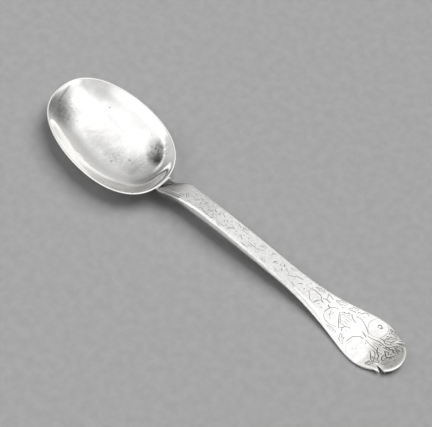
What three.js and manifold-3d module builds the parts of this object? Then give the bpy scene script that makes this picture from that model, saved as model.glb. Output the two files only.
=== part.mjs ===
// A silver spoon with a trefid end, lying face up on a table. The egg-shaped bowl is a raised shell, a
// rat-tail rib is soldered under it, and the flat stem widens to an end with two notches and three lobes.
// +X runs from the bowl to the stem's end and +Z is up. Lengths are in millimetres.
import * as THREE from 'three';
import { mergeVertices } from 'three/addons/utils/BufferGeometryUtils.js';
import Module from 'manifold-3d';

const wasm = await Module();
wasm.setup();
const { lerp, smoothstep, degToRad } = THREE.MathUtils;

// Bowl: an egg outline, hollowed below a rim that slopes a little
const bowlLength = 66;
const bowlWidth = 42.3;
const bowlDepth = 8.2;
const bowlFloor = 0.95;
const rimWidth = 0.95;
const rimTipHeight = 10.9;
const rimHeelHeight = 9.6;
const tipRoundness = 0.852;
const heelRoundness = 0.918;
const heelSwell = 0.0485;
const endFullness = 0.064;
const domeCurve = 2.3;
const domeFullness = 1.25;

// The stem was set on a little askew, so the bowl is turned and stands off the stem's line
const bowlTurn = -5.5;
const bowlOffset = -0.5;

// Stem: runs are counted from the bowl's heel, tops from the table
const stemLength = 129;
const stemWidth = 8.7;
const rootReach = 6;
const toeTop = 7.3;
const rootTop = 8.3;
const rootThickness = 3.5;
const rootOffset = -3.1;
const bendRun = 11;
const neckRun = 8;
const neckTop = 9.75;
const crestRun = 30;
const crestTop = 10.7;
const crestThickness = 4;
const fallRun = 66;
const fallTop = 7.8;
const fallThickness = 3.2;
const spreadRun = 62;
const slopeRun = 94;
const slopeTop = 2.75;
const slopeThickness = 1.9;
const footRun = 107;
const footThickness = 1.6;
const endTop = 3.6;
const endThickness = 1.3;

// Trefid end: two side lobes, two wedge notches and a middle lobe
const endWidth = 23.3;
const endRun = 112;
const spreadEase = 30;
const endEase = 10;
const sideLobeRadius = 17;
const sideLobeArc = 9;
const middleLobeWidth = 14.4;
const middleLobeReach = 3.8;
const notchMouth = 1.3;
const notchDepth = 3;
const notchInset = 0.7;

// Rat-tail: a tapered rib under the bowl, from the stem's root to its point
const ribLength = 42;
const ribRootWidth = 8;
const ribPointWidth = 1;
const ribTaper = 1.8;
const ribRootDepth = 1.4;
const ribPointDepth = 0.3;
const ribDepthTaper = 6;

// Solder drawn along the joint, in the corner between the heel's wall and the stem
const solderWidth = 1;
const solderLength = 7.2;
const rimShow = 0.4;

// Joints and wear
const seam = 0.3;
const wear = 0.08;

// How far a cutting solid stands past what it cuts
const spare = 10;

// Fineness of the curved faces
const bowlSegments = 72;
const domeRings = 14;
const stemSteps = 96;
const curveSteps = 20;
const lobeSteps = 5;
const ribSides = 16;
const ribSteps = 24;

// A closed geometry as a solid, with its shared corners joined
function solid(geometry) {
  geometry.deleteAttribute('normal');
  geometry.deleteAttribute('uv');
  const merged = mergeVertices(geometry, 1e-4);
  const corners = merged.index.array;
  const triangles = [];
  for (let i = 0; i < corners.length; i += 3) {
    const [a, b, c] = corners.slice(i, i + 3);
    if (a !== b && b !== c && c !== a) triangles.push(a, b, c);
  }
  const vertProperties = merged.attributes.position.array;
  const triVerts = new Uint32Array(triangles);
  return new wasm.Manifold(new wasm.Mesh({ numProp: 3, vertProperties, triVerts }));
}

// Moves every vertex of a geometry to where the rule puts it
function shaped(geometry, rule) {
  const position = geometry.attributes.position;
  const point = new THREE.Vector3();
  for (let i = 0; i < position.count; i++) {
    rule(point.fromBufferAttribute(position, i));
    position.setXYZ(i, point.x, point.y, point.z);
  }
  return geometry;
}

function piece(name, shape, look) {
  const { vertProperties, triVerts } = shape.getMesh();
  const geometry = new THREE.BufferGeometry();
  geometry.setAttribute('position', new THREE.BufferAttribute(vertProperties, 3));
  geometry.setIndex(new THREE.BufferAttribute(triVerts, 1));
  geometry.computeVertexNormals();
  const mesh = new THREE.Mesh(geometry, new THREE.MeshStandardMaterial(look));
  mesh.name = name;
  return mesh;
}

// The bowl's own frame has its middle at the origin and its heel towards +X
const placeBowl = new THREE.Matrix4()
  .makeTranslation(-bowlLength / 2, bowlOffset, 0)
  .multiply(new THREE.Matrix4().makeRotationZ(degToRad(bowlTurn)));

// A point of the rim's outline, by its angle round the bowl, with 0 at the heel
function rimPoint(angle) {
  const along = Math.cos(angle);
  const across = Math.sin(angle);
  const roundness = lerp(tipRoundness, heelRoundness, (1 + along) / 2);
  const width = 1 + heelSwell * along + endFullness * along ** 2;
  return new THREE.Vector2(
    (bowlLength / 2) * along,
    (bowlWidth / 2) * Math.sign(across) * Math.abs(across) ** roundness * width,
  );
}

function rimHeight(x) {
  return lerp(rimTipHeight, rimHeelHeight, x / bowlLength + 0.5);
}

function dome(radius, depth) {
  return -depth * Math.max(0, 1 - radius ** domeCurve) ** (1 / domeFullness);
}

// An egg filled to its rim or above: its outline is grown by an amount, and its wall rises past the rim
function egg(grow, depth, rise) {
  const profile = [];
  for (let i = 0; i <= domeRings; i++) {
    const radius = Math.sin((Math.PI / 2) * (i / domeRings));
    profile.push(new THREE.Vector2(radius, dome(radius, depth)));
  }
  if (rise > 0) profile.push(new THREE.Vector2(1, rise));
  profile.push(new THREE.Vector2(0, rise));
  const blank = new THREE.LatheGeometry(profile, bowlSegments).rotateX(Math.PI / 2);
  shaped(blank, (p) => {
    const edge = rimPoint(Math.atan2(p.y, p.x));
    const reach = Math.hypot(p.x, p.y) * (1 + grow / edge.length());
    p.set(edge.x * reach, edge.y * reach, p.z + rimHeight(edge.x * reach));
  });
  return solid(blank.applyMatrix4(placeBowl));
}

// The stem's line from the side: distance from the heel, thickness and top height
const sideLine = new THREE.CatmullRomCurve3([
  new THREE.Vector3(-rootReach, rootThickness, toeTop),
  new THREE.Vector3(0, rootThickness, rootTop),
  new THREE.Vector3(neckRun, rootThickness, neckTop),
  new THREE.Vector3(crestRun, crestThickness, crestTop),
  new THREE.Vector3(fallRun, fallThickness, fallTop),
  new THREE.Vector3(slopeRun, slopeThickness, slopeTop),
  new THREE.Vector3(footRun, footThickness, footThickness - wear),
  new THREE.Vector3(stemLength, endThickness, endTop),
], false, 'centripetal');

// A wide strip bent and tapered along that line, its top lifted by an amount
function strip(lift) {
  const blank = new THREE.BoxGeometry(1, endWidth + seam, 1, stemSteps, 1, 1);
  shaped(blank, (p) => {
    const line = sideLine.getPoint(p.x + 0.5);
    p.set(line.x, p.y, p.z > 0 ? line.z + lift : line.z - line.y);
  });
  return solid(blank);
}

// The root swings sideways to meet the turned bowl
function rootSwing(run) {
  return rootOffset * (1 - smoothstep(run, 0, bendRun));
}

// One long edge of the stem seen from above, from the root to the notch
function stemEdge(side) {
  const edge = [];
  for (let i = 0; i <= curveSteps; i++) {
    const run = lerp(-rootReach, bendRun, i / curveSteps);
    edge.push(new THREE.Vector2(run, rootSwing(run) + (side * stemWidth) / 2));
  }
  const spread = new THREE.CubicBezierCurve(
    new THREE.Vector2(spreadRun, (side * stemWidth) / 2),
    new THREE.Vector2(spreadRun + spreadEase, (side * stemWidth) / 2),
    new THREE.Vector2(endRun - endEase, (side * endWidth) / 2),
    new THREE.Vector2(endRun, (side * endWidth) / 2),
  );
  edge.push(...spread.getPoints(curveSteps));
  for (let i = 1; i <= lobeSteps; i++) {
    const run = (sideLobeArc * i) / lobeSteps;
    const fall = sideLobeRadius - Math.sqrt(sideLobeRadius ** 2 - run ** 2);
    edge.push(new THREE.Vector2(endRun + run, side * (endWidth / 2 - fall)));
  }
  const shoulder = stemLength - middleLobeReach;
  edge.push(
    new THREE.Vector2(shoulder - notchMouth, side * (middleLobeWidth / 2 + notchMouth)),
    new THREE.Vector2(shoulder - notchMouth - notchDepth, side * (middleLobeWidth / 2 - notchInset)),
    new THREE.Vector2(shoulder, (side * middleLobeWidth) / 2),
  );
  return edge;
}

// The stem's outline seen from above, as a tall prism
function stemPrism() {
  const radius = ((middleLobeWidth / 2) ** 2 + middleLobeReach ** 2) / (2 * middleLobeReach);
  const half = Math.asin(middleLobeWidth / 2 / radius);
  const lobe = new THREE.EllipseCurve(stemLength - radius, 0, radius, radius, -half, half);
  const outline = new THREE.Shape([
    ...stemEdge(-1),
    ...lobe.getPoints(curveSteps).slice(1, -1),
    ...stemEdge(1).reverse(),
  ]);
  return solid(new THREE.ExtrudeGeometry(outline, { depth: crestTop + spare, bevelEnabled: false }));
}

// Cutting blocks: all that lies below the table, and all on the tip's side of a line across the bowl
const bench = bowlLength + stemLength;
const table = solid(new THREE.BoxGeometry(2 * bench, bench, bench).translate(0, 0, -bench / 2));
const ribStart = bowlLength / 2 - rootReach;
function behind(x) {
  const block = new THREE.BoxGeometry(bench, bench, bench).translate(x - bench / 2, 0, 0);
  return solid(block.applyMatrix4(placeBowl));
}

const outerDepth = bowlDepth + bowlFloor;
const filledBowl = egg(0, outerDepth, 0);
const hollow = egg(-rimWidth, bowlDepth, spare);
const clearOfBowl = egg(seam, outerDepth + seam, spare);

// Bowl: the raised shell
const bowl = filledBowl.subtract(hollow);

// Stem: the strip trimmed to its outline, scarfed to the heel and stopped short of the rib
const stem = strip(0).intersect(stemPrism()).subtract(clearOfBowl).subtract(behind(ribStart)).subtract(table);

// Rat-tail: a tapering round rib whose upper half is cut to the bowl's underside
function ribBlank() {
  const blank = new THREE.CylinderGeometry(1, 1, 1, ribSides, ribSteps).rotateZ(Math.PI / 2);
  shaped(blank, (p) => {
    const along = 0.5 - p.x;
    const x = ribStart - seam - along * ribLength;
    const halfWidth = lerp(ribPointWidth, ribRootWidth, (1 - along) ** ribTaper) / 2;
    const depth = lerp(ribRootDepth, ribPointDepth, along ** ribDepthTaper);
    const underside = rimHeight(x) + dome(Math.abs(x) / (bowlLength / 2), outerDepth);
    p.set(x, p.y * halfWidth, underside + p.z * depth);
  });
  return solid(blank.applyMatrix4(placeBowl));
}
const ratTail = ribBlank().subtract(clearOfBowl).subtract(table);

// Solder: a low bead along the heel, above the stem's root and below the rim
const beadTop = rimHeelHeight - rimShow;
const beadBlock = new THREE.BoxGeometry(2 * (solderWidth + seam), solderLength, beadTop)
  .translate(bowlLength / 2, 0, beadTop / 2)
  .applyMatrix4(placeBowl);
const solder = solid(beadBlock)
  .intersect(egg(seam + solderWidth, outerDepth + solderWidth, spare))
  .subtract(clearOfBowl)
  .subtract(strip(seam));

const silver = { color: 0xdcdcd8, roughness: 0.22, metalness: 1 };
const spoon = new THREE.Group();
spoon.add(
  piece('bowl', bowl, { ...silver, roughness: 0.16 }),
  piece('stem', stem, silver),
  piece('rat_tail', ratTail, { ...silver, color: 0xd2d2cd }),
  piece('heel_solder', solder, { ...silver, color: 0xc9c9c4, roughness: 0.35 }),
);

// The origin is under the middle of the spoon's box, on the table
const box = new THREE.Box3().setFromObject(spoon);
spoon.position.set(-(box.min.x + box.max.x) / 2, -(box.min.y + box.max.y) / 2, -box.min.z);

export default spoon;
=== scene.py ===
"""A silver spoon with a trefid end, lying face up on a pale table.

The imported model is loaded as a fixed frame, and each of its four pieces is replaced by a finer one in the
same place: the raised bowl, the engraved stem, the rat-tail under the bowl and the solder at the heel.
"""
import math

import bmesh
import bpy
from mathutils import Matrix, Vector, kdtree, noise


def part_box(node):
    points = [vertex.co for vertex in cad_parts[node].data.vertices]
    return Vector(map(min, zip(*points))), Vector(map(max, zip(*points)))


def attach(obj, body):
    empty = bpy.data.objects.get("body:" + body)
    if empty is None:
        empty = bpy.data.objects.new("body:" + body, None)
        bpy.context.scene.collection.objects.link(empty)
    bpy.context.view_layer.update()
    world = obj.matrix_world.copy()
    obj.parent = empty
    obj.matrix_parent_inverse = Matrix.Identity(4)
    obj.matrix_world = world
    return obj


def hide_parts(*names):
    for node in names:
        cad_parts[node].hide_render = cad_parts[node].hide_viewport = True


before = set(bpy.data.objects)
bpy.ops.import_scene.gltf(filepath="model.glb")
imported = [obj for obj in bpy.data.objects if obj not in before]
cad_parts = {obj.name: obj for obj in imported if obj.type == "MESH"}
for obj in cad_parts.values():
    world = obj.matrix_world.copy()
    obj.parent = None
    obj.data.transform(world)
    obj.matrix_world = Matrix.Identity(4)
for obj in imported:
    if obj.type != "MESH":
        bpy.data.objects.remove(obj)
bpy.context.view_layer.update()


# Bowl: a dish raised with the hammer from one sheet of silver, planished and polished. Its outline is an
# egg, fuller towards the stem, and its lip is a flat edge that years of use have rounded.
stem_length = 129
stem_low, stem_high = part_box("stem")
# each piece is drawn in millimetres, with x as the run along the stem from the heel, and then put on the
# table
millimetre = 0.001
heel = Vector((stem_high.x - millimetre * stem_length, (stem_low.y + stem_high.y) / 2, 0))
to_table = Matrix.Translation(heel) @ Matrix.Scale(millimetre, 4)
bowl_length, bowl_width, bowl_depth, bowl_wall = 66, 42.27, 8.45, 0.7
tip_roundness, heel_roundness, heel_swell, ends_swell = 0.852, 0.918, 0.0485, 0.064
# powers that give the bowl's long section and its cross section their curves
end_fall, end_bend, side_fall, side_bend = 4.6, 1.2, 2.3, 0.94
lip_width, lip_rounding, lip_squareness = 0.95, 0.3, 0.6
tip_height, heel_height = 10.9, 9.6
bowl_aside, bowl_turn = -0.5, math.radians(-5.5)
place_bowl = Matrix.Translation((-bowl_length / 2, bowl_aside, 0)) @ Matrix.Rotation(bowl_turn, 4, "Z")


def mix(a, b, share):
    return a + (b - a) * share


def smooth_step(x, low, high):
    share = min(1, max(0, (x - low) / (high - low)))
    return share * share * (3 - 2 * share)


def rim_point(angle):
    """A point of the bowl's outline seen from above, in its own frame, with angle 0 at the heel."""
    along, across = math.cos(angle), math.sin(angle)
    roundness = mix(tip_roundness, heel_roundness, (1 + along) / 2)
    swell = 1 + heel_swell * along + ends_swell * along**2
    side = math.copysign(abs(across) ** roundness, across)
    return Vector((bowl_length / 2 * along, bowl_width / 2 * side * swell))


def rim_height(x):
    return mix(tip_height, heel_height, x / bowl_length + 0.5)


def dish(place, depth, reach=0):
    """Height against the rim, 0 or less, of a face of the wall at a place in the bowl's own frame.

    The bottom is flattish and the sides are steep. A face outside the bowl's outline has a reach beyond it.
    """
    along = place.x / (bowl_length / 2 + reach)
    if abs(along) >= 1:
        return 0
    across = min(1, abs(place.y) / (rim_point(math.acos(along)).y + reach))
    return -depth * (1 - abs(along) ** end_fall) ** end_bend * (1 - across**side_fall) ** side_bend


def finished(name, mesh, finish, node):
    """Puts a mesh made in the spoon's millimetres on the table as a piece that replaces a CAD node."""
    bmesh.ops.transform(mesh, matrix=to_table, verts=mesh.verts)
    for face in mesh.faces:
        face.smooth = True
    data = bpy.data.meshes.new(name)
    mesh.to_mesh(data)
    mesh.free()
    piece = bpy.data.objects.new(name, data)
    bpy.context.scene.collection.objects.link(piece)
    data.materials.append(finish.material)
    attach(piece, "root")
    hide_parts(node)


class Wire:
    """A value that varies over a surface: sums written on it become Math nodes of its finish."""

    def __init__(self, finish, socket):
        self.finish, self.socket = finish, socket

    def sum(self, operation, *values):
        return self.finish.node("ShaderNodeMath", {"operation": operation}, values)

    def __add__(self, other):
        return self.sum("ADD", self, other)

    def __sub__(self, other):
        return self.sum("SUBTRACT", self, other)

    def __rsub__(self, other):
        return self.sum("SUBTRACT", other, self)

    def __mul__(self, other):
        return self.sum("MULTIPLY", self, other)

    __radd__, __rmul__ = __add__, __mul__


class Nodes:
    """The nodes of a material or of the room. Every one of them comes from node()."""

    def __init__(self, tree):
        self.tree = tree

    def node(self, kind, settings=None, values=(), output=0):
        made = self.tree.nodes.new(kind)
        for key, value in (settings or {}).items():
            setattr(made, key, value)
        for key, value in values.items() if isinstance(values, dict) else enumerate(values):
            self.feed(made.inputs[key], value)
        return Wire(self, made.outputs[output])

    def feed(self, socket, value):
        if isinstance(value, Wire):
            self.tree.links.new(value.socket, socket)
        else:
            socket.default_value = value

    def ramp(self, value, low, high):
        """0 at low and 1 at high, with a soft step between."""
        return self.node(
            "ShaderNodeMapRange", {"interpolation_type": "SMOOTHSTEP"}, {0: value, 1: low, 2: high}
        )


class Finish(Nodes):
    """The finish of a piece: silver, unless it is told otherwise."""

    def __init__(self, name):
        self.material = bpy.data.materials.new(name)
        self.material.use_nodes = True
        super().__init__(self.material.node_tree)
        self.shader = self.tree.nodes["Principled BSDF"]
        self.set("Metallic", 1)
        self.place = self.node("ShaderNodeTexCoord", output="Object")

    def set(self, name, value):
        """Gives a socket of the shader a number, a colour or a value that varies."""
        self.feed(self.shader.inputs[name], value)

    def spots(self, scale, detail=2.0, stretch=(1, 1, 1), turn=0.0):
        """Soft cloudy noise from 0 to 1, with scale in clouds per metre."""
        where = self.node("ShaderNodeMapping", values={0: self.place, 2: (0, 0, turn), 3: stretch})
        return self.node("ShaderNodeTexNoise", values={"Vector": where, "Scale": scale, "Detail": detail})

    def layer(self, name):
        """A value that the mesh holds for each of its points."""
        return self.node("ShaderNodeAttribute", {"attribute_name": name}, output="Fac")

    def near(self, centre, reach):
        """1 at one place on the piece, falling softly to 0 at so many metres from it."""
        gap = self.node("ShaderNodeVectorMath", {"operation": "DISTANCE"}, (self.place, centre), output=1)
        return self.ramp(gap, reach, 0)

    def blend(self, share, first, second):
        """Goes from one colour to another as share goes from 0 to 1."""
        colours = {0: share, 6: (*first, 1) if isinstance(first, tuple) else first, 7: (*second, 1)}
        return self.node("ShaderNodeMix", {"data_type": "RGBA"}, colours, output=2)

    def relief(self, height, depth):
        """Bumps of the surface, with depth in metres."""
        bump = self.node("ShaderNodeBump", values={"Strength": 1.0, "Distance": depth, "Height": height})
        self.set("Normal", bump)


# bright silver, uneven from the hammer, clouded in patches, with fine wiping scratches and pits, with
# painted dark reflections, mottled and speckled, at the tip, the heel and below the middle, and with a
# painted dark line near the tip where an edge is mirrored, and a faint grey streak
bright_silver, clouded_silver = (0.95, 0.945, 0.93), (0.84, 0.83, 0.81)
speck_grey, dark_reflection_grey = (0.55, 0.56, 0.57), (0.27, 0.28, 0.295)
dark_lines_grey, pit_grey = (0.20, 0.20, 0.20), (0.28, 0.27, 0.26)
bowl_silver = Finish("bowl_silver")
clouds = bowl_silver.spots(170, 5)
wiping = bowl_silver.spots(1100, 3, stretch=(0.25, 1.6, 1), turn=0.5)
dimples = bowl_silver.spots(230, 1.5)
patch = bowl_silver.ramp(clouds, 0.44, 0.64)
pits = bowl_silver.ramp(bowl_silver.spots(560, 1), 0.76, 0.80)
mottle = bowl_silver.ramp(bowl_silver.spots(620, 4), 0.38, 0.60)
specks = bowl_silver.ramp(bowl_silver.spots(1150, 4), 0.42, 0.70)
# painted dark reflections where the heel, the tip and the lower middle mirror dark parts of the room,
# mottled and speckled
heel_dark_reflection = bowl_silver.near((-0.0450, 0.0100, 0.0044), 0.0080) * (0.15 + mottle)
tip_dark_reflection = bowl_silver.near((-0.0905, -0.0030, 0.0063), 0.0110) * (mottle * 0.35 + specks * 0.30)
low_dark_reflection = bowl_silver.near((-0.0590, -0.0035, 0.0020), 0.0075)
low_dark_reflection = low_dark_reflection + bowl_silver.near((-0.0480, 0.0010, 0.0023), 0.0085)
dark_reflection_and_mottle = heel_dark_reflection + tip_dark_reflection + low_dark_reflection * (0.12 + mottle * 0.16 + specks * 0.30)
for place in ((-0.0864, -0.0041, 0.0043), (-0.0587, -0.0065, 0.0021), (-0.0531, -0.0007, 0.0017)):
    pits = pits + bowl_silver.near(place, 0.0008)
colour = bowl_silver.blend(patch * 0.35, bright_silver, clouded_silver)
colour = bowl_silver.blend(specks * 0.10, colour, speck_grey)
colour = bowl_silver.blend(dark_reflection_and_mottle * 0.85, colour, dark_reflection_grey)
# a painted dark line near the tip, where an edge is mirrored, and a faint grey streak
colour = bowl_silver.blend(bowl_silver.layer("dark_lines"), colour, dark_lines_grey)
bowl_silver.set("Base Color", bowl_silver.blend(pits * 0.7, colour, pit_grey))
inner = bowl_silver.layer("inner")
bowl_silver.set("Roughness", 0.05 + inner * (0.03 + patch * 0.08 + wiping * 0.08))
bowl_silver.relief((wiping * 0.07 + dimples) * (0.25 + inner * 0.75) - pits * 0.08, 0.00011)

# the wall's section from the middle of its inner face, over the lip and back underneath, as share of the way
# out, height, growth of the outline and depth of the dish
rings, lip_steps, turns = 60, 12, 224


def lip_fall(share):
    """How far the wall has worn down close to the lip."""
    return -lip_rounding * share**30


shares = [math.sin(math.pi / 2 * i / rings) for i in range(rings + 1)]
profile = [(share, lip_fall(share), -lip_width, bowl_depth) for share in shares]
for i in range(1, lip_steps):
    turn = math.pi * i / lip_steps
    across = math.copysign(abs(math.cos(turn)) ** lip_squareness, math.cos(turn))
    profile.append((1, -lip_rounding * (1 - math.sin(turn)), -lip_width / 2 * (1 + across), 0))
profile += [(share, lip_fall(share), 0, bowl_depth + bowl_wall) for share in reversed(shares)]

mesh = bmesh.new()
grow_layer = mesh.verts.layers.float.new("grow")
depth_layer = mesh.verts.layers.float.new("depth")
inner_layer = mesh.verts.layers.float.new("inner")
dark_lines_layer = mesh.verts.layers.float.new("dark_lines")
line = []
for share, height, grow, depth in profile:
    line.append(mesh.verts.new((share, 0, height)))
    line[-1][grow_layer], line[-1][depth_layer] = grow, depth
edges = [mesh.edges.new(pair) for pair in zip(line, line[1:])]
bmesh.ops.spin(mesh, geom=line + edges, axis=(0, 0, 1), steps=turns, angle=math.tau, use_merge=True)
# the inner face has a painted dark line close to the tip, a painted reflection of an edge, and a faint grey
# streak on its far side
mirrored_edge_run, mirrored_edge_slant, mirrored_edge_bend, mirrored_edge_width = 31.1, 0.23, 0.016, 0.7
streak_run, streak_side, streak_width = -7.5, 8.2, 1.8
mirrored_edge_dark, streak_dark = 0.65, 0.12
hammer_depth, hammer_face = 0.02, 8
for v in mesh.verts:
    share = v.co.xy.length
    edge = rim_point(math.atan2(v.co.y, v.co.x))
    full = edge * share
    drawn = full * (1 + v[grow_layer] / edge.length)
    v[inner_layer] = 1 - smooth_step(share, 0.68, 0.86)
    if abs(v[depth_layer] - bowl_depth) < 0.01:
        from_mirrored_edge = abs(full.x + mirrored_edge_run + mirrored_edge_slant * full.y - mirrored_edge_bend * full.y**2)
        mirrored_edge = max(0, 1 - from_mirrored_edge / mirrored_edge_width) * (1 - smooth_step(abs(full.y + 0.5), 3, 6))
        streak = max(0, 1 - abs(full.y - streak_side) / streak_width)
        streak *= 1 - smooth_step(abs(full.x - streak_run), 5, 11)
        v[dark_lines_layer] = mirrored_edge_dark * mirrored_edge + streak_dark * streak
    dent = noise.noise(Vector((drawn.x / hammer_face, drawn.y / hammer_face, v[grow_layer])))
    hammered = hammer_depth * dent * (1 - share**4)
    v.co = (drawn.x, drawn.y, rim_height(drawn.x) + dish(full, v[depth_layer]) + v.co.z + hammered)
bmesh.ops.remove_doubles(mesh, verts=mesh.verts, dist=1e-4)
bmesh.ops.transform(mesh, matrix=place_bowl, verts=mesh.verts)
bmesh.ops.recalc_face_normals(mesh, faces=mesh.faces)
finished("bowl_shell", mesh, bowl_silver, "bowl")


# Stem: one forged and filed bar, flat on top, thin and wide at its end, which is cut by two notches into
# three lobes and turned up a little. Its root leans over and thins towards the heel. It is engraved on top,
# and its edges are worn round, the near one most.
stem_width, end_width, end_run = 8.7, 23.3, 112
spread_start, spread_middle, spread_stop = 62, 92, 102
side_lobe_radius, side_lobe_length, middle_lobe_width, middle_lobe_bulge = 17, 9, 14.4, 3.8
lobe_run = stem_length - middle_lobe_bulge
notch_mouth, notch_depth, notch_slant = 1.3, 3, 0.7
root_reach, root_length, root_lean, near_set_out = 6, 11, 3.1, 0.65


def bezier(points, count):
    a, b, c, d = (Vector(p) for p in points)
    for i in range(count + 1):
        t = i / count
        yield a * (1 - t) ** 3 + 3 * b * (1 - t) ** 2 * t + 3 * c * (1 - t) * t**2 + d * t**3


def root_edge(run, side):
    """How far to the side an edge of the root lies: the root leans over to meet the heel squarely.

    The near edge is set out a little, because it is rolled over later.
    """
    set_out = near_set_out * smooth_step(run, 3, root_length) if side < 0 else 0
    return -root_lean * (1 - smooth_step(run, 0, root_length)) + side * stem_width / 2 - set_out


def stem_edge(side):
    """One long edge of the stem seen from above, from the root to the notch."""
    edge = []
    for i in range(41):
        run = mix(-root_reach, root_length, i / 40)
        edge.append(Vector((run, root_edge(run, side))))
    narrow, wide = root_edge(root_length, side), side * end_width / 2
    spread = [
        (spread_start, narrow), (spread_middle, side * stem_width / 2), (spread_stop, wide), (end_run, wide)
    ]
    edge += bezier(spread, 90)
    for i in range(1, 19):
        run = side_lobe_length * i / 18
        fall = side_lobe_radius - math.sqrt(side_lobe_radius**2 - run**2)
        edge.append(Vector((end_run + run, side * (end_width / 2 - fall))))
    mouth_run, lobe_side = lobe_run - notch_mouth, middle_lobe_width / 2
    edge.append(Vector((mouth_run, side * (lobe_side + notch_mouth))))
    edge.append(Vector((mouth_run - notch_depth, side * (lobe_side - notch_slant))))
    edge.append(Vector((lobe_run, side * lobe_side)))
    return edge


def stem_outline():
    """The whole stem seen from above, once round."""
    radius = ((middle_lobe_width / 2) ** 2 + middle_lobe_bulge**2) / (2 * middle_lobe_bulge)
    half = math.asin(middle_lobe_width / 2 / radius)
    lobe = [
        Vector((stem_length - radius + radius * math.cos(a), radius * math.sin(a)))
        for a in (mix(-half, half, i / 48) for i in range(1, 48))
    ]
    return stem_edge(-1) + lobe + stem_edge(1)[::-1]


# runs from the heel, thickness and top height at the stations that the bar is forged to
stations = [
    (-6, 1.8, 6.2), (0, 1.9, 8.35), (3, 2.0, 8.85), (6, 2.8, 9.15), (9, 3.7, 9.45), (16, 3.9, 10.15),
    (30, 4, 10.7), (66, 3.2, 7.8), (94, 1.9, 2.75), (104, 1.65, 1.66), (112.5, 1.5, 1.62),
    (117.5, 1.4, 1.84), (121, 1.35, 2.28), (125, 1.3, 3.08), (129, 1.3, 4.20),
]


def side_line(steps=60):
    """The stem's side view as points of run, thickness and top, a smooth curve through the stations."""
    knots = [Vector(s) for s in stations]
    knots = [2 * knots[0] - knots[1], *knots, 2 * knots[-1] - knots[-2]]
    points = []
    for before, first, second, after in zip(knots, knots[1:], knots[2:], knots[3:]):
        spans = (before, first), (first, second), (second, after)
        d0, d1, d2 = (math.sqrt((b - a).length) for a, b in spans)
        start = ((first - before) / d0 - (second - before) / (d0 + d1) + (second - first) / d1) * d1
        stop = ((second - first) / d1 - (after - first) / (d1 + d2) + (after - second) / d2) * d1
        for i in range(steps):
            t = i / steps
            points.append(
                first * (2 * t**3 - 3 * t**2 + 1) + start * (t**3 - 2 * t**2 + t)
                + second * (3 * t**2 - 2 * t**3) + stop * (t**3 - t**2)
            )
    return points + [knots[-2]]


side_points = side_line()


def forged(run):
    """Thickness and top height of the bar at a run."""
    low, high = 0, len(side_points) - 1
    while high - low > 1:
        middle = (low + high) // 2
        low, high = (middle, high) if side_points[middle].x <= run else (low, middle)
    a, b = side_points[low], side_points[high]
    point = a.lerp(b, min(1, max(0, (run - a.x) / (b.x - a.x))))
    return point.y, point.z


ridge_slant, ridge_side, ridge_softness = 0.82, 5.4, 0.06
facet_slope, facet_depth, shoulder_rise = 0.85, 2.4, 0.75


def root_fall(run, y):
    """Depth of the facet that falls from a slanting ridge towards the heel."""
    past_ridge = ridge_slant * (y + ridge_side) - run
    return min(facet_depth, facet_slope * (math.sqrt(past_ridge**2 + ridge_softness) + past_ridge) / 2)


def root_rise(run, y):
    """How far the near shoulder of the root stands up, to meet the lip."""
    beside_edge = 1 - smooth_step(y - root_edge(run, -1), 0.8, 4.2)
    return shoulder_rise * (1 - smooth_step(run, 0.2, 9)) * beside_edge


from_bowl = place_bowl.inverted()


def under_bowl(x, y, gap):
    """Height of the bowl's underside less a gap, or None outside the bowl's outline."""
    own = from_bowl @ Vector((x, y, 0))
    drop = dish(own, bowl_depth + bowl_wall + gap, gap)
    return rim_height(own.x) + drop if drop else None


def tree_of(points):
    tree = kdtree.KDTree(len(points))
    for i, p in enumerate(points):
        tree.insert((p[0], p[1], 0), i)
    tree.balance()
    return tree


def dense(line, step, closed=False):
    """Points along a line of corners, no further apart than step."""
    points = []
    for a, b in zip(line, line[1:] + line[:1] if closed else line[1:]):
        count = max(1, math.ceil((b - a).length / step))
        points += [a.lerp(b, i / count) for i in range(count)]
    return points + ([] if closed else [line[-1]])


# The engraving, as strokes of the graver, each with its width and its corners in run and side: two round
# blossoms, a pleated bud and two petalled heads on stems that rise from the notched end, leaves beside them,
# and a vine along the narrow part.
cuts = []


def stroke(width, *corners):
    """One cut that flows through a few corners, swelling in its middle."""
    corners = [Vector(c) for c in corners]
    knots = [2 * corners[0] - corners[1], *corners, 2 * corners[-1] - corners[-2]]
    line = []
    for before, first, second, after in zip(knots, knots[1:], knots[2:], knots[3:]):
        for i in range(8):
            t = i / 8
            line.append(0.5 * (
                2 * first + (second - before) * t + (2 * before - 5 * first + 4 * second - after) * t**2
                + (3 * first - before - 3 * second + after) * t**3
            ))
    cuts.append((line + [corners[-1]], width))


def prick(width, *places):
    """Marks of the graver's point."""
    for x, y in places:
        stroke(width, (x - 0.12, y - 0.05), (x + 0.12, y + 0.05))


def arc(width, centre, radius, start, stop, petals=0, dent=0.0):
    """Part of a ring, from one angle in degrees to another, dented where petals meet."""
    count = max(6, round(abs(stop - start) / 7))
    corners = []
    for i in range(count + 1):
        angle = math.radians(mix(start, stop, i / count))
        out = radius * (1 - dent * (1 - abs(math.sin(petals * angle / 2))) ** 3)
        corners.append((centre[0] + out * math.cos(angle), centre[1] + out * math.sin(angle)))
    stroke(width, *corners)


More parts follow.
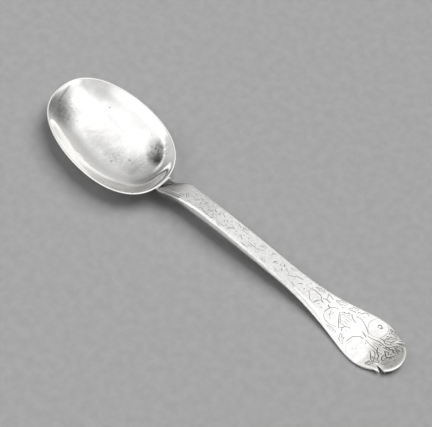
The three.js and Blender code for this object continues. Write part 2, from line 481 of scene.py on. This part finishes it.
def leaf(width, root, tip, belly, teeth=3):
    """A leaf with toothed edges and a vein, bulging to both sides by a share of its length."""
    root, tip = Vector(root), Vector(tip)
    along, across = tip - root, Vector((root.y - tip.y, tip.x - root.x))
    for side in (-1, 1):
        edge = [root]
        for i in range(1, teeth + 1):
            bulge = belly * math.sin(math.pi * (i - 0.4) / (teeth + 0.2))
            edge.append(root + along * ((i - 0.35) / (teeth + 0.3)) + across * side * bulge)
            edge.append(root + along * (i / (teeth + 0.3)) + across * side * bulge * 0.62)
        stroke(width, *edge, tip)
    stroke(width * 0.7, root, root + along * 0.45 + across * 0.04, root + along * 0.8)


# three mouldings along the near shoulder
for inset, width in ((0.62, 0.50), (1.25, 1.0), (2.05, 0.75)):
    stroke(width, *[(run, root_edge(run, -1) + inset) for run in (1.2, 3.4, 5.6, 7.8, 9.6)])
# the two round blossoms, the far one with a ring in its middle
blossom_far, blossom_near = (110.8, 7.0), (110.2, -6.7)
far_radius, near_radius = 4.3, 4.75
arc(0.16, blossom_far, far_radius, 12, 372, 7, 0.06)
arc(0.52, (110.9, 8.0), 0.72, 20, 200)
arc(0.24, (110.9, 8.0), 0.72, 200, 380)
stroke(0.50, (111.6, 7.4), (112.1, 7.9), (112.0, 8.5))
stroke(0.50, (121.0, 7.8), (122.0, 8.1), (123.0, 8.4))
arc(0.13, blossom_near, near_radius, 150, 300, 8, 0.05)
prick(0.24, (108.5, -7.3), (112.8, -7.6), (111.0, -2.6), (109.6, -6.1))
# the bud between them, its calyx and its pleated inside
stroke(0.34, (109.5, 2.2), (106.4, 4.3), (103.2, 5.5), (100.9, 5.1))
stroke(0.34, (108.9, -0.7), (107.3, -1.0), (105.2, -2.9), (104.7, -4.5), (104.5, -6.4))
stroke(0.50, (106.9, 1.4), (108.2, 1.1), (109.4, 0.6))
stroke(0.46, (107.4, -0.9), (109.0, -0.7))
stroke(0.34, (98.2, 4.2), (96.3, 3.1), (94.4, 1.6))
stroke(0.34, (94.4, 1.4), (96.0, -0.9), (98.2, -3.8))
stroke(0.22, (98.5, 3.5), (96.9, 2.5), (95.4, 1.3), (96.6, -0.6), (98.0, -2.4))
stroke(0.36, (98.2, -3.9), (99.3, -2.8), (99.9, -1.7), (101.3, -0.8))
stroke(0.34, (98.9, 4.3), (100.2, 3.3), (101.6, 2.9))
stroke(0.30, (99.4, -2.9), (100.0, -4.2))
for low, high in ((1.7, 2.4), (0.6, 1.1), (-0.5, -0.3), (-1.6, -1.7)):
    stroke(0.20, (96.6, low), (98.2, (low + high) / 2 + 0.2), (100.4, high))
prick(0.62, (101.7, -0.75), (101.9, 2.85), (97.4, 4.2), (95.8, 3.05), (98.9, 4.35))
# the two petalled heads nearer the bowl
stroke(0.34, (78.0, 0.8), (79.6, 1.6), (82.0, 1.9), (84.1, 1.7), (85.3, 0.5))
stroke(0.24, (79.1, 0.8), (79.0, -0.3), (80.3, -1.2), (81.3, -2.5), (83.4, -2.9))
stroke(0.42, (85.0, 0.2), (84.1, -0.9), (83.6, -2.6))
stroke(0.46, (85.2, 0.5), (86.6, 0.2))
stroke(0.40, (85.4, 1.6), (86.7, 2.2), (88.5, 2.1))
stroke(0.30, (86.8, 2.6), (86.5, 3.5), (86.0, 4.6), (87.5, 4.5), (89.0, 4.1))
stroke(0.34, (93.2, 2.4), (91.5, 1.9), (90.2, 0.6), (89.7, -0.8), (89.5, -2.5))
stroke(0.24, (89.6, -2.8), (90.5, -4.2), (92.6, -5.2), (95.0, -5.1), (97.6, -4.1))
stroke(0.50, (88.8, 1.0), (89.6, 0.5), (90.2, 0.3))
for tip in ((91.2, -0.4), (92.7, -0.1), (93.3, -3.4)):
    stroke(0.20, (91.9, -2.0), tip)
prick(0.56, (91.8, -2.0), (87.3, -1.9), (88.6, 2.1), (94.0, 4.2), (76.9, -0.7))
prick(0.40, (76.9, 1.0), (77.5, 2.9), (78.0, -2.8), (75.6, -2.5), (85.5, -1.5), (83.6, 4.6), (80.6, 4.7))
# leaves between the flowers and the stem's long edges
leaf(0.24, (89.9, 4.5), (94.6, 6.6), 0.22)
leaf(0.26, (96.2, 5.4), (99.6, 8.2), 0.24)
stroke(0.34, (100.1, 6.4), (100.3, 7.3), (101.8, 7.6), (102.1, 8.6), (103.3, 9.2), (104.6, 8.8))
leaf(0.24, (100.2, -5.1), (103.9, -8.6), 0.22)
leaf(0.22, (93.6, -6.3), (98.8, -6.2), 0.14)
leaf(0.22, (80.0, 3.2), (84.4, 4.2), 0.16)
prick(0.40, (101.0, 5.2), (101.4, -2.9), (102.6, -5.8), (101.6, -5.0), (99.2, 6.2), (103.3, 7.0))
# stems, leaves and scrolls on the turned-up end
stroke(0.40, (110.0, 1.3), (111.9, 1.6), (113.7, 2.1), (115.5, 2.5), (118.0, 2.4), (119.6, 2.7))
stroke(0.36, (110.2, -0.5), (112.1, -0.9), (115.0, -1.2), (117.7, -1.6), (119.6, -1.3))
stroke(0.22, (112.6, 0.9), (115.0, 0.9), (117.4, 0.5))
stroke(0.22, (112.8, 0.1), (115.4, 0.0), (118.0, -0.4))
stroke(0.36, (115.0, -2.2), (116.5, -2.5), (117.7, -3.9))
stroke(0.46, (115.6, 1.5), (116.9, 1.6))
stroke(0.42, (117.7, 1.4), (119.2, 1.7), (120.9, 1.6))
stroke(0.40, (119.1, 0.4), (120.5, 0.8), (121.6, 0.3), (121.3, -0.5))
stroke(0.42, (120.3, -1.0), (120.2, -2.4), (120.9, -3.4), (122.0, -3.2))
stroke(0.44, (121.7, -2.6), (122.2, -1.4), (123.4, 0.2), (124.4, 1.8))
stroke(0.38, (122.1, 3.0), (123.4, 3.4), (124.7, 2.7))
stroke(0.38, (119.4, 2.7), (120.4, 3.4), (121.1, 4.6), (122.1, 5.6), (123.6, 6.0), (125.0, 5.5),
       (125.7, 4.5))
stroke(0.34, (122.3, 5.1), (122.8, 4.3))
for i in range(4):
    stroke(0.20, (122.4 - 0.1 * i, -2.8 - 0.7 * i), (124.9 - 0.25 * i, -2.1 - 0.75 * i))
stroke(0.55, (118.6, 1.9), (119.7, 2.6), (120.6, 2.4), (121.6, 2.9), (122.6, 2.2), (123.6, 2.5))
stroke(0.50, (119.6, 0.2), (120.4, -0.4), (121.4, -1.3), (122.7, -0.9), (123.8, -0.4))
stroke(0.45, (121.6, 4.3), (122.6, 3.9), (123.7, 4.2), (124.6, 3.9))
stroke(0.45, (116.2, -0.2), (117.3, -2.0), (118.7, -2.8), (119.3, -4.0))
stroke(0.40, (114.7, -3.4), (116.0, -4.6), (117.4, -6.1), (118.6, -6.2))
stroke(0.40, (114.2, 3.9), (115.9, 4.1), (117.3, 3.5), (118.9, 3.9))
leaf(0.28, (116.2, 4.4), (120.2, 8.0), 0.26)
leaf(0.28, (114.9, 9.9), (119.4, 8.9), 0.18)
leaf(0.28, (117.0, -4.6), (120.8, -5.4), 0.24)
leaf(0.28, (116.4, -9.0), (119.0, -6.6), 0.26)
prick(0.56, (116.0, 8.3), (116.2, 6.6), (119.3, 4.5), (117.3, -7.2), (122.4, 0.9), (125.2, -0.4),
      (111.1, -1.6))
# the vine along the narrow part, with its curls and leaves
for dash in (
    ((9.6, -2.9), (11.6, -2.4)), ((15.2, -0.7), (17.0, 0.4)), ((19.2, 1.4), (21.2, 1.7), (22.4, 1.4)),
    ((24.6, 0.6), (26.4, -0.5)), ((29.2, -2.0), (31.6, -2.4), (33.2, -2.3)), ((36.2, -1.0), (38.0, -0.1)),
    ((40.6, 1.2), (42.6, 1.7), (44.2, 1.8)), ((48.0, 0.6), (50.0, -0.6)), ((54.2, -2.1), (56.8, -2.0)),
    ((59.8, -1.0), (62.0, 0.1)), ((65.2, 1.0), (67.0, 0.3), (68.4, -0.9)),
):
    stroke(0.22, *dash)
stroke(0.30, (8.4, -2.6), (9.7, -1.2))
stroke(0.30, (9.4, -2.8), (10.5, -1.2))
stroke(0.32, (10.4, -0.2), (12.3, -2.0))
stroke(0.26, (11.2, 0.4), (12.7, -1.2))
stroke(0.30, (13.3, -2.7), (15.4, -2.6))
stroke(0.28, (12.9, 0.1), (14.6, 0.3), (15.2, -0.2))
stroke(0.34, (16.9, 1.5), (18.1, 1.5), (18.9, 0.9))
stroke(0.30, (18.4, -0.1), (19.1, -0.6))
stroke(0.32, (19.5, -2.4), (20.7, -1.9), (22.2, -2.5), (24.2, -2.7), (26.3, -2.9), (27.3, -2.4),
       (26.9, -1.7), (26.1, -1.4))
stroke(0.26, (20.5, 1.5), (21.6, 0.8))
stroke(0.40, (25.6, 1.3), (26.4, 0.6))
stroke(0.34, (28.3, 0.5), (28.9, 1.3))
stroke(0.28, (29.6, 1.9), (31.1, 1.2))
stroke(0.28, (31.6, 0.1), (32.4, -0.5))
stroke(0.34, (32.6, 0.7), (33.5, 0.1))
stroke(0.30, (33.2, -1.1), (34.3, -1.2))
stroke(0.38, (35.0, -2.0), (35.9, -1.4), (36.5, -0.7))
stroke(0.28, (36.3, 0.3), (37.0, -0.2), (37.6, 0.1))
stroke(0.28, (36.6, 2.5), (38.2, 2.5), (39.6, 1.8))
stroke(0.32, (41.6, -0.3), (42.1, -1.0), (43.2, -1.8))
stroke(0.40, (43.8, -3.1), (45.2, -3.2), (47.3, -3.0))
stroke(0.32, (46.2, -0.8), (48.0, -0.9), (50.0, -0.9))
stroke(0.24, (46.4, -1.9), (48.6, -1.8))
stroke(0.24, (50.4, -1.2), (52.0, -0.4), (53.7, 0.3))
stroke(0.28, (44.9, 0.5), (45.7, 0.2))
stroke(0.28, (57.1, 1.3), (57.4, 2.2), (58.9, 2.8))
stroke(0.38, (59.9, -1.0), (60.2, 0.0), (60.9, 0.4))
stroke(0.34, (62.6, 0.5), (63.6, 0.2))
stroke(0.42, (64.0, 1.7), (64.8, 0.8))
stroke(0.42, (64.3, -0.7), (65.0, -1.3))
stroke(0.34, (68.3, -0.9), (69.4, -0.3), (70.6, 0.4), (71.8, 1.4), (74.1, 1.9))
stroke(0.42, (73.9, -0.9), (74.3, -0.2), (75.0, 0.4))
prick(0.44, (17.2, 0.6), (42.7, 0.2), (39.2, -0.6), (22.4, 0.6), (66.1, 0.4), (57.2, 1.5), (34.9, 1.6))
for root, tip in (
    ((14.0, 1.2), (16.4, 2.8)), ((23.2, -0.9), (25.4, 0.0)), ((30.2, -3.2), (32.6, -3.3)),
    ((40.2, 2.6), (42.8, 3.0)), ((51.0, 1.2), (53.8, 2.4)), ((54.6, -3.2), (57.2, -3.1)),
    ((61.8, -2.6), (64.2, -3.2)), ((67.0, 2.2), (69.6, 2.9)), ((71.0, -2.4), (73.4, -3.0)),
):
    leaf(0.17, root, tip, 0.20, 2)
prick(0.60, (16.3, -0.4), (20.3, 0.9), (40.7, 2.2), (26.6, 0.9), (45.4, -3.1), (60.4, 0.2))


outline = stem_outline()
outline_tree = tree_of(dense(outline, 0.06, closed=True))
cut_points, cut_widths = [], []
for line, width in cuts:
    points = dense(line, 0.04)
    cut_points += points
    for i, point in enumerate(points):
        # the strokes are bolder on the turned-up end, and each is widest in its middle
        bold = mix(1, 1.4, smooth_step(point.x, 112, 118))
        cut_widths.append(bold * width * mix(0.7, 1, math.sin(math.pi * i / (len(points) - 1))))
cut_tree = tree_of(cut_points)

# a flat blank of that outline, one unit thick, is sliced into cells, which are halved again along the
# outline and the engraved lines
cell, cells_aside = 0.64, 18
mesh = bmesh.new()
mesh.faces.new([mesh.verts.new((*p, 0)) for p in outline])
copied = bmesh.ops.extrude_face_region(mesh, geom=mesh.faces[:])["geom"]
bmesh.ops.translate(mesh, vec=(0, 0, -1), verts=[v for v in copied if isinstance(v, bmesh.types.BMVert)])


def slice_blank(place, normal):
    everything = mesh.verts[:] + mesh.edges[:] + mesh.faces[:]
    bmesh.ops.bisect_plane(mesh, geom=everything, plane_co=place, plane_no=normal)


def needs_detail(face, outline_reach, cut_reach):
    """Whether a flat face lies near the outline, or on top near an engraved line."""
    middle = face.calc_center_median()
    flat = (middle.x, middle.y, 0)
    if -0.99 < middle.z < -0.01:
        return False
    by_outline = outline_tree.find(flat)[2] < outline_reach
    return by_outline or (middle.z > -0.5 and cut_tree.find(flat)[2] < cut_reach)


for i in range(1, int((stem_length + root_reach) / cell) + 1):
    slice_blank((-root_reach + i * cell, 0, 0), (1, 0, 0))
for i in range(-cells_aside, cells_aside + 1):
    slice_blank((0, i * cell, 0), (0, 1, 0))
for outline_reach, cut_reach in ((1.2, 0.7), (0.55, 0.36), (0, 0.20)):
    longest = cell * 0.6
    cell /= 2
    bmesh.ops.triangulate(mesh, faces=[f for f in mesh.faces if len(f.verts) > 4])
    chosen = [f for f in mesh.faces if needs_detail(f, outline_reach, cut_reach)]
    edges = {
        e for f in chosen for e in f.edges
        if e.calc_length() > longest and abs(e.verts[0].co.z - e.verts[1].co.z) < 0.5
    }
    bmesh.ops.subdivide_edges(mesh, edges=list(edges), cuts=1, use_grid_fill=True)
for row in (-0.12, -0.88):
    slice_blank((0, 0, row), (0, 0, 1))


def worn_edge(to_edge, width, depth):
    """How far an edge has worn down, so far in from the outline."""
    return depth * (1 - math.sqrt(max(0, 1 - max(0, 1 - to_edge / width) ** 2)))


# the blank is forged to its heights, worn, and cut by the graver. Each point also learns how dark, how dull
# and how matted the silver is there: dark with old polish in the cuts and with painted shade on the root's
# facet and near the heel, dull along the narrow part but for a painted highlight left along the near edge,
# and matted on the turned-up end round the blossoms, more on the middle lobe as painted shade, but for a
# painted highlight along the lobe's border
least_root, least_edge, stem_gap, least_under_bowl = 0.8, 0.2, 0.12, 0.3
root_wear, stem_wear, lower_wear, cut_slope = 0.35, 0.9, 0.4, 0.55
# how dark the painted shade is on the root's facet and near the heel
facet_shade, root_shade = 0.42, 0.40
# the near edge is rolled over by a share of the thickness, more widely along the stem than at the root. The
# roll sets in and fades out between these runs
rolled_share, root_roll, stem_roll = 0.60, 0.8, 1.8
roll_start, roll_stop = (7, 19), (84, 104)
cut_and_shade_layer = mesh.verts.layers.float.new("dark")
dull_and_edge_highlight_layer = mesh.verts.layers.float.new("dull")
matted_and_shaded_layer = mesh.verts.layers.float.new("matted_and_shaded")
for v in mesh.verts:
    run, y, level = v.co
    on_top = level > -0.05
    thickness, top = forged(run)
    to_edge = outline_tree.find((run, y, 0))[2]
    fall = root_fall(run, y)
    surface = top + root_rise(run, y) - fall
    base = min(top - thickness, surface - least_root)

    near_side = smooth_step(-y, -2, 2) * smooth_step(run, *roll_start) * (1 - smooth_step(run, *roll_stop))
    wear_width = mix(root_wear, stem_wear, smooth_step(run, 7, 16))
    worn = worn_edge(to_edge, wear_width, min(wear_width, 0.45 * (surface - base)))
    rolled_width = mix(root_roll, stem_roll, smooth_step(run, 9, 30))
    rolled = rolled_share * thickness * max(0, 1 - to_edge / rolled_width) ** 1.5

    index, off = cut_tree.find((run, y, 0))[1:]
    half = cut_widths[index] / 2
    faint = smooth_step(run, 9, 12) * (1 - smooth_step(run, 68, 80))
    cut = max(0, 1 - off / half) * mix(1, 0.85, faint) if on_top else 0

    upper = surface - mix(worn, rolled, near_side) - cut_slope * half * cut
    lower = max(0, base + worn_edge(to_edge, lower_wear, min(lower_wear, 0.3 * (surface - base))))
    lower = min(lower, upper - least_edge)
    underside = under_bowl(run, y, stem_gap)
    if underside is not None:
        upper, lower = min(upper, underside), min(lower, underside - least_under_bowl)
    v.co.z = mix(lower, upper, 1 + level)

    # painted shade: darker on the facet that falls to the heel and on the root near it
    on_facet, on_root = smooth_step(fall, 0.1, 0.8), 1 - smooth_step(run, 4, 15)
    v[cut_and_shade_layer] = max(cut, facet_shade * on_facet, root_shade * on_root)
    dull = mix(0.1, 1, smooth_step(run, 10, 32)) * (1 - smooth_step(run, 62, 98))
    # the near edge is left undulled: a painted highlight along it
    v[dull_and_edge_highlight_layer] = dull * smooth_step(y - root_edge(run, -1), 1.0, 2.2)
    blossoms = (blossom_far, far_radius), (blossom_near, near_radius)
    outside = min((v.co.xy - Vector(centre)).length - radius for centre, radius in blossoms)
    # the middle lobe is matted more, as painted shade, and its border is left unmatted and bright, a painted
    # highlight
    lobe = smooth_step(run, 119.5, 122.5)
    lobe_edge_highlight = lobe * (1 - smooth_step(to_edge, 0.9, 1.5))
    matted_and_shaded = smooth_step(run, 112.5, 114.5) * smooth_step(outside, -0.1, 0.1) * mix(0.6, 1, lobe)
    v[matted_and_shaded_layer] = matted_and_shaded * (1 - lobe_edge_highlight) if on_top else 0
bmesh.ops.recalc_face_normals(mesh, faces=mesh.faces)

# whiter silver than the bowl's, hazed and finely rubbed, with old polish dark in the cuts and painted shade
# on the root
rubbed_silver, hazed_silver = (0.97, 0.965, 0.95), (0.83, 0.82, 0.80)
dull_grey, fine_grey = (0.66, 0.66, 0.65), (0.50, 0.50, 0.49)
ground_and_shade_grey, matting_and_shade_grey, cut_and_shade_black = (0.55, 0.53, 0.48), (0.36, 0.35, 0.33), (0.13, 0.125, 0.12)
stem_silver = Finish("stem_silver")
haze = stem_silver.ramp(stem_silver.spots(220, 4), 0.40, 0.68)
rub = stem_silver.spots(1100, 3, stretch=(0.3, 1.5, 1))
fine = stem_silver.ramp(stem_silver.spots(1150, 4), 0.42, 0.64)
dints = stem_silver.spots(420, 2)
cut_and_shade_darkness = stem_silver.layer("dark")
dullness_and_edge_highlight = stem_silver.layer("dull")
ground_and_shade = stem_silver.layer("matted_and_shaded")
matting_and_shade = stem_silver.ramp(stem_silver.spots(3200, 1), 0.45, 0.60) * ground_and_shade
colour = stem_silver.blend(haze * 0.35, rubbed_silver, hazed_silver)
colour = stem_silver.blend(dullness_and_edge_highlight * 0.75, colour, dull_grey)
colour = stem_silver.blend(fine * (0.06 + dullness_and_edge_highlight * 0.34), colour, fine_grey)
colour = stem_silver.blend(ground_and_shade * ground_and_shade * 0.55, colour, ground_and_shade_grey)
colour = stem_silver.blend(matting_and_shade * 0.55, colour, matting_and_shade_grey)
old_polish_and_shade = stem_silver.ramp(cut_and_shade_darkness, 0.05, 0.6) * 0.9
stem_silver.set("Base Color", stem_silver.blend(old_polish_and_shade, colour, cut_and_shade_black))
stem_silver.set("Roughness", 0.15 + haze * 0.08 + rub * 0.06 + ground_and_shade * 0.06)
stem_silver.relief(rub * 0.12 - matting_and_shade * 0.15 + dints, 0.00007)
finished("stem_bar", mesh, stem_silver, "stem")


# Rat-tail: a long tapered rib of silver, soldered under the bowl to carry the stem's root into it. It tapers
# to a point near the bowl's middle, and its lowest part is worn flat by the table.
rib_start, rib_length, rib_gap = bowl_length / 2 - root_reach - 0.3, 42, 0.08
rib_width, rib_tip_width, rib_depth, rib_tip_depth = 8, 1, 1.4, 0.3
rib_sides, rib_rows = 32, 80
mesh = bmesh.new()
bmesh.ops.create_cone(mesh, cap_ends=True, segments=rib_sides, radius1=1, radius2=1, depth=1)
bmesh.ops.rotate(mesh, matrix=Matrix.Rotation(math.pi / 2, 3, "Y"), verts=mesh.verts)
long_edges = [e for e in mesh.edges if abs(e.verts[0].co.x - e.verts[1].co.x) > 0.5]
bmesh.ops.subdivide_edges(mesh, edges=long_edges, cuts=rib_rows - 1)
for v in mesh.verts:
    along = min(1, max(0, 0.5 - v.co.x))
    x = rib_start - along * rib_length
    half_width = mix(rib_tip_width, rib_width, (1 - along) ** 1.8) / 2
    depth = mix(rib_depth, rib_tip_depth, along**6)
    world = place_bowl @ Vector((x, v.co.y * half_width, 0))
    underside = rim_height(x) + dish(Vector((x, 0)), bowl_depth + bowl_wall)
    roof = under_bowl(world.x, world.y, rib_gap)
    v.co = (world.x, world.y, max(0, min(roof, underside + v.co.z * depth)))
bmesh.ops.recalc_face_normals(mesh, faces=mesh.faces)
finished("rat_tail_rib", mesh, bowl_silver, "rat_tail")


# Heel solder: silver solder run along the corner between the heel's wall and the stem's root. It is built up
# to just under the lip, with a small drop at each end, and on its near side it runs down to the root.
bead_middle, bead_half_length, bead_thickness, bead_below_lip = 0.6, 4.2, 0.42, 0.38
bead_set_in, drop_size, drop_set_out = 0.14, 0.14, 0.16
# where each drop lies and how far it reaches to both sides, as shares of half the bead
drop_place, drop_reach = 0.90, 0.12
web_overlap, web_stop = 0.2, (0.1, 0.7)
bead_sides, bead_rows = 24, 60
solder_silver = Finish("solder_silver")
grain = solder_silver.spots(900, 4)
solder_silver.set("Base Color", solder_silver.blend(grain, (0.96, 0.955, 0.94), clouded_silver))
solder_silver.set("Roughness", 0.13 + grain * 0.10)
solder_silver.relief(grain, 0.00002)
mesh = bmesh.new()
bmesh.ops.create_cone(mesh, cap_ends=True, segments=bead_sides, radius1=1, radius2=1, depth=1)
long_edges = [e for e in mesh.edges if abs(e.verts[0].co.z - e.verts[1].co.z) > 0.5]
bmesh.ops.subdivide_edges(mesh, edges=long_edges, cuts=bead_rows - 1)
for v in mesh.verts:
    along = v.co.z * 2
    end_drop = max(0, 1 - abs(abs(along) - drop_place) / drop_reach)
    thick = bead_thickness * (1 - abs(along) ** 16) ** 0.5 + drop_size * end_drop
    x = bowl_length / 2 - bead_set_in + drop_set_out * end_drop + v.co.x * thick
    world = place_bowl @ Vector((x, bead_middle + bead_half_length * along, 0))
    middle = heel_height - bead_below_lip
    if v.co.y < 0:
        stem_top = forged(world.x)[1] + root_rise(world.x, world.y) - root_fall(world.x, world.y)
        web = (middle - stem_top + web_overlap) * (1 - abs(along) ** 8) * (1 - smooth_step(along, *web_stop))
        v.co = (world.x, world.y, middle + v.co.y * max(thick, web))
    else:
        v.co = (world.x, world.y, middle + v.co.y * thick)
bmesh.ops.recalc_face_normals(mesh, faces=mesh.faces)
finished("solder_bead", mesh, solder_silver, "heel_solder")


# Table: one sheet of plain pale paper with a faint mottle, wide enough that no edge of it shows. The spoon
# lies loose on it, on the rat-tail's worn flat and the underside of its end.
paper_dark, paper_light = (0.38, 0.38, 0.38), (0.43, 0.43, 0.43)
mesh = bmesh.new()
bmesh.ops.create_grid(mesh, x_segments=1, y_segments=1, size=2.5)
sheet = bpy.data.meshes.new("table")
mesh.to_mesh(sheet)
mesh.free()
table = bpy.data.objects.new("table", sheet)
bpy.context.scene.collection.objects.link(table)
paper = Finish("table_paper")
paper.set("Metallic", 0)
paper.set("Roughness", 0.9)
fibres = paper.ramp(paper.spots(260, 6), 0.25, 0.75)
paper.set("Base Color", paper.blend(fibres, paper_dark, paper_light))
sheet.materials.append(paper.material)


# Light: a soft white room, as the bowl mirrors it: brighter overhead and low to the near left and right,
# with six darker gaps and a low bright seam on the left. It is only mirrored. The table is lit, and the
# shadows thrown, by three soft boxes that aren't mirrored, most of all the one above and behind the spoon.
room = bpy.data.worlds.new("room")
bpy.context.scene.world = room
room.use_nodes = True
walls = Nodes(room.node_tree)
look = walls.node("ShaderNodeTexCoord", output="Generated")


def facing(towards, wide):
    """1 in a direction of the room, falling softly to 0 at so many degrees from it."""
    along = walls.node(
        "ShaderNodeVectorMath", {"operation": "DOT_PRODUCT"}, (look, Vector(towards).normalized()), output=1
    )
    return walls.ramp(along, math.cos(math.radians(wide)), 1.0)


overhead = facing((-0.30, -0.02, 0.95), 75) * 0.54
near_left = facing((-0.38, -0.89, 0.25), 28) * 0.46
near_right = facing((0.69, -0.66, 0.28), 24) * 0.45
patch_right = facing((0.57, -0.08, 0.81), 28) * 0.50
gap_left = facing((-0.76, -0.25, 0.60), 25) * 0.58
gap_far_left = facing((-0.81, 0.28, 0.52), 45) * 0.53
gap_far_right = facing((0.45, 0.73, 0.52), 39) * 0.38
gap_near = facing((0.03, -0.68, 0.73), 19) * 0.20
gap_behind = facing((-0.43, 0.48, 0.77), 16) * 0.23
gap_low = facing((-0.30, 0.81, 0.50), 18) * 0.14
height = walls.node("ShaderNodeSeparateXYZ", values=(look,), output=2)
level_band = walls.ramp(height, 0.25, 0.34) * walls.ramp(height, 0.45, 0.36)
seam_left = level_band * facing((-0.86, -0.27, 0.43), 38) * 0.60
room_brightness, least_brightness = 0.63, 0.05
brightness = room_brightness + overhead + near_left + near_right + patch_right + seam_left
brightness = brightness - gap_left - gap_far_left - gap_far_right - gap_near - gap_behind - gap_low
brightness = walls.node("ShaderNodeMath", {"operation": "MAXIMUM"}, (brightness, least_brightness))
backdrop = room.node_tree.nodes["Background"]
walls.feed(backdrop.inputs["Strength"], brightness)
walls.feed(backdrop.inputs["Color"], (1, 1, 1, 1))
room.cycles_visibility.diffuse = False


def soft_box(name, towards, distance, size, power):
    lamp = bpy.data.lights.new(name, "AREA")
    lamp.shape = "RECTANGLE"
    lamp.size, lamp.size_y = size
    lamp.energy = power
    holder = bpy.data.objects.new(name, lamp)
    bpy.context.scene.collection.objects.link(holder)
    direction = Vector(towards).normalized()
    holder.location = direction * distance
    holder.rotation_euler = direction.to_track_quat("Z", "Y").to_euler()
    holder.visible_glossy = False


soft_box("box_behind", (0.12, 0.50, 0.85), 8, (5.2, 6.2), 628)
soft_box("fill_near", (0.05, -0.45, 0.89), 0.9, (0.8, 0.8), 0.7)
soft_box("fill_left", (-0.70, -0.22, 0.68), 1.5, (1.0, 0.9), 4.4)


# Camera: from above and to the right of the spoon's near side, through a long lens. Its place, aim and lens
# are fitted to the spoon's outline in the photograph.
target = Vector((-0.00784, 0.00477, 0))
azimuth, elevation, distance = math.radians(40.72), math.radians(63.15), 0.8354
back = Vector((
    math.sin(azimuth) * math.cos(elevation), -math.cos(azimuth) * math.cos(elevation), math.sin(elevation)
))
lens = bpy.data.cameras.new("camera")
lens.sensor_width = 36
lens.lens = 160.88
lens.clip_start = 0.05
camera = bpy.data.objects.new("camera", lens)
bpy.context.scene.collection.objects.link(camera)
camera.location = target + back * distance
camera.rotation_euler = back.to_track_quat("Z", "Y").to_euler()
bpy.context.scene.camera = camera
bpy.context.scene.view_settings.view_transform = "Standard"
